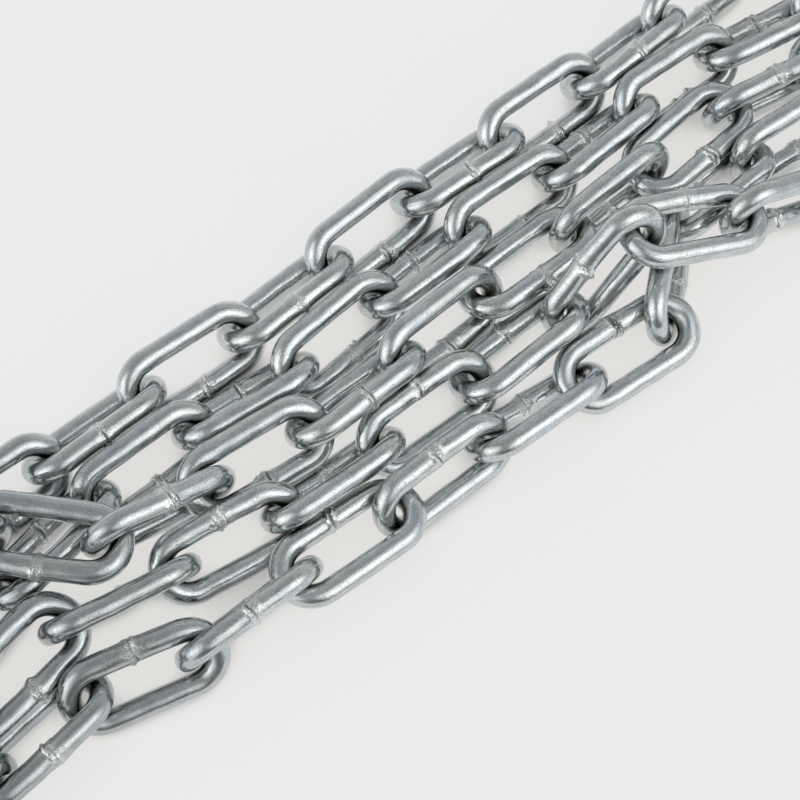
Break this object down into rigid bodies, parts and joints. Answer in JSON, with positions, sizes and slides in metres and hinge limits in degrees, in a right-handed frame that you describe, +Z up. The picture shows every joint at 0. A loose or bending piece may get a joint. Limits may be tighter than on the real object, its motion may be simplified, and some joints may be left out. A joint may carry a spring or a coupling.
{
  "type": "heap of steel chain",
  "caption": "Heap of zinc-plated welded steel chain, one length folded to and fro in close side-by-side runs lying on the floor.",
  "frame": {"origin": "centre of the heap's bounding box in plan, on the floor it lies on", "axes": "+Z up, +X along the runs of chain, +Y to the far side of the heap in the picture"},
  "size_m": [0.3296, 0.0827, 0.0308],
  "materials": {
    "zinc_plated_steel": "bright zinc plating, drawn wire"
  },
  "bodies": {
    "root": {"link_01": "zinc_plated_steel", "link_02": "zinc_plated_steel", "link_03": "zinc_plated_steel", "link_04": "zinc_plated_steel", "link_05": "zinc_plated_steel", "link_06": "zinc_plated_steel", "link_07": "zinc_plated_steel", "link_08": "zinc_plated_steel", "link_09": "zinc_plated_steel", "link_10": "zinc_plated_steel", "link_11": "zinc_plated_steel", "link_12": "zinc_plated_steel", "link_13": "zinc_plated_steel", "link_14": "zinc_plated_steel", "link_15": "zinc_plated_steel", "link_16": "zinc_plated_steel", "link_17": "zinc_plated_steel", "link_18": "zinc_plated_steel", "link_19": "zinc_plated_steel", "link_20": "zinc_plated_steel", "link_21": "zinc_plated_steel", "link_22": "zinc_plated_steel", "link_23": "zinc_plated_steel", "link_24": "zinc_plated_steel", "link_25": "zinc_plated_steel", "link_26": "zinc_plated_steel", "link_27": "zinc_plated_steel", "link_28": "zinc_plated_steel", "link_29": "zinc_plated_steel", "link_30": "zinc_plated_steel", "link_31": "zinc_plated_steel", "link_32": "zinc_plated_steel", "link_33": "zinc_plated_steel", "link_34": "zinc_plated_steel", "link_35": "zinc_plated_steel", "link_36": "zinc_plated_steel", "link_37": "zinc_plated_steel", "link_38": "zinc_plated_steel", "link_39": "zinc_plated_steel", "link_40": "zinc_plated_steel", "link_41": "zinc_plated_steel", "link_42": "zinc_plated_steel", "link_43": "zinc_plated_steel", "link_44": "zinc_plated_steel", "link_45": "zinc_plated_steel", "link_46": "zinc_plated_steel", "link_47": "zinc_plated_steel", "link_48": "zinc_plated_steel", "link_49": "zinc_plated_steel", "link_50": "zinc_plated_steel", "link_51": "zinc_plated_steel", "link_52": "zinc_plated_steel", "link_53": "zinc_plated_steel", "link_54": "zinc_plated_steel", "link_55": "zinc_plated_steel", "link_56": "zinc_plated_steel", "link_57": "zinc_plated_steel", "link_58": "zinc_plated_steel", "link_59": "zinc_plated_steel", "link_60": "zinc_plated_steel"}
  },
  "joints": []
}
